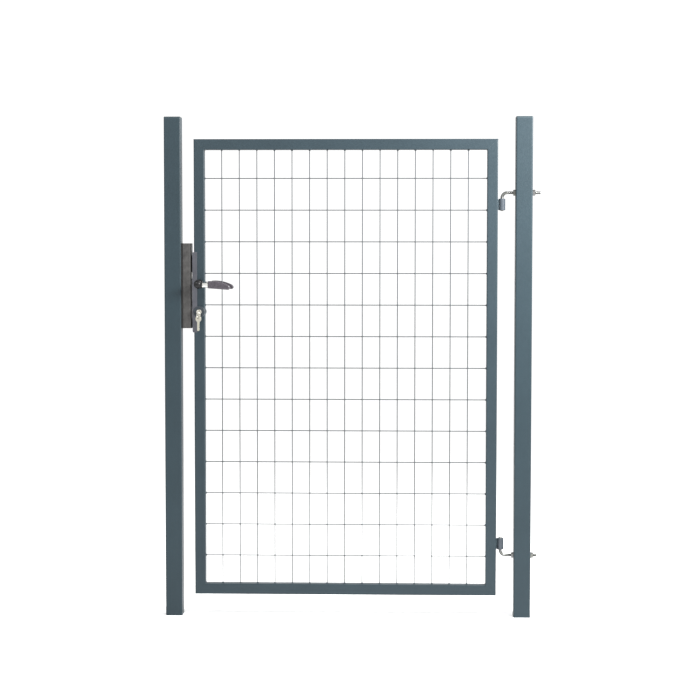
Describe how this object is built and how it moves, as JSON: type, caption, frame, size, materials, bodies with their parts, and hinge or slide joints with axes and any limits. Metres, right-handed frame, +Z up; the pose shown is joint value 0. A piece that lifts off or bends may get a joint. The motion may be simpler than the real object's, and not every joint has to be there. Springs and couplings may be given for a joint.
{
  "type": "garden gate",
  "caption": "Single garden gate: welded mesh leaf in a square tube frame between two posts, with hook hinges, an insert lock, lever handles, a cylinder and a keep.",
  "frame": {"origin": "centre of the hinge post's foot, at ground level", "axes": "+X away from the leaf, along the fence line; +Y to the back, away from the side the leaf opens to; +Z up"},
  "size_m": [1.237, 0.153, 1.652],
  "materials": {
    "post_coat": "powder coated, fine texture, satin",
    "frame_coat": "powder coated, fine texture, satin",
    "wire_coat": "powder coated over galvanised wire, satin",
    "cap_plastic": "moulded, satin",
    "zinc": "bright zinc plated",
    "keep_black": "black coated, satin",
    "keep_polymer": "moulded, fine texture, dull",
    "rubber": "moulded rubber",
    "black_steel": "blackened",
    "forend_metal": "anodised, satin",
    "case_steel": "zinc plated sheet",
    "stainless": "ground stainless steel",
    "nickel": "nickel plated brass, satin",
    "key_nickel": "nickel plated, worn satin",
    "rose_polymer": "moulded polyamide, satin black",
    "grip_polymer": "moulded polyamide, glossy",
    "spring_steel": "drawn spring wire"
  },
  "bodies": {
    "posts": {"hinge_post": "post_coat", "latch_post": "post_coat", "hinge_post_cap": "cap_plastic", "latch_post_cap": "cap_plastic", "upper_hook_bolt": "zinc", "lower_hook_bolt": "zinc", "hook_inner_nuts": "zinc", "hook_outer_nuts": "zinc", "hook_outer_washers": "zinc", "keep_base": "keep_black", "keep_housing": "keep_polymer", "keep_strike_plate": "keep_black", "keep_stop": "keep_black", "keep_buffers": "rubber", "keep_screws": "black_steel", "keep_stop_screws": "black_steel"},
    "leaf": {"frame_top_rail": "frame_coat", "frame_bottom_rail": "frame_coat", "frame_latch_stile": "frame_coat", "frame_hinge_stile": "frame_coat", "mesh_uprights": "wire_coat", "mesh_crosswires": "wire_coat", "upper_hinge_barrel": "frame_coat", "lower_hinge_barrel": "frame_coat", "upper_hinge_tab": "frame_coat", "lower_hinge_tab": "frame_coat", "lock_forend": "forend_metal", "lock_case": "case_steel", "lock_case_cover": "case_steel", "forend_screws": "stainless", "cylinder_body": "nickel", "cylinder_rear_plug": "nickel", "cylinder_screw": "stainless", "front_handle_rose": "rose_polymer", "rear_handle_rose": "rose_polymer", "front_cylinder_rose": "rose_polymer", "rear_cylinder_rose": "rose_polymer", "latch_spring": "spring_steel"},
    "handles": {"lock_follower": "case_steel", "handle_spindle": "stainless", "front_handle_neck": "rose_polymer", "rear_handle_neck": "rose_polymer", "front_handle_collar": "stainless", "rear_handle_collar": "stainless", "front_handle_grip": "grip_polymer", "rear_handle_grip": "grip_polymer", "handle_grub_screws": "black_steel"},
    "latch": {"latch_bolt": "stainless"},
    "locking_bolt": {"deadbolt": "stainless"},
    "key_and_plug": {"cylinder_front_plug": "nickel", "cylinder_cam": "nickel", "lock_key": "key_nickel"},
    "hanging_keys": {"key_ring": "key_nickel", "spare_key": "key_nickel"}
  },
  "joints": [
    {"name": "gate_swing", "type": "hinge", "parent": "posts", "child": "leaf", "pos_m": [-0.0715, 0, 0.8], "axis": [0, 0, 1], "range_deg": [0, 110]},
    {"name": "handle_turn", "type": "hinge", "parent": "leaf", "child": "handles", "pos_m": [-1.068, 0, 1.103], "axis": [0, 1, 0], "range_deg": [0, 40], "stiffness_Nm_per_rad": 1.5, "springref_deg": -17.19},
    {"name": "latch_slide", "type": "slide", "parent": "leaf", "child": "latch", "axis": [1, 0, 0], "range_m": [0, 0.012], "deforming": ["latch_spring"]},
    {"name": "key_turn", "type": "hinge", "parent": "leaf", "child": "key_and_plug", "pos_m": [-1.068, 0, 1.011], "axis": [0, -1, 0], "range_deg": [0, 360]},
    {"name": "deadbolt_slide", "type": "slide", "parent": "leaf", "child": "locking_bolt", "axis": [-1, 0, 0], "range_m": [0, 0.02]},
    {"name": "spare_key_swing", "type": "hinge", "parent": "key_and_plug", "child": "hanging_keys", "pos_m": [-1.068, -0.0454, 1.00845], "axis": [0, 1, 0], "range_deg": [-15, 15]}
  ],
  "couplings": [
    {"joint": "latch_slide", "follows": "handle_turn", "m_per_rad": 0.01718},
    {"joint": "key_turn", "follows": "deadbolt_slide", "rad_per_m": 314.16}
  ]
}
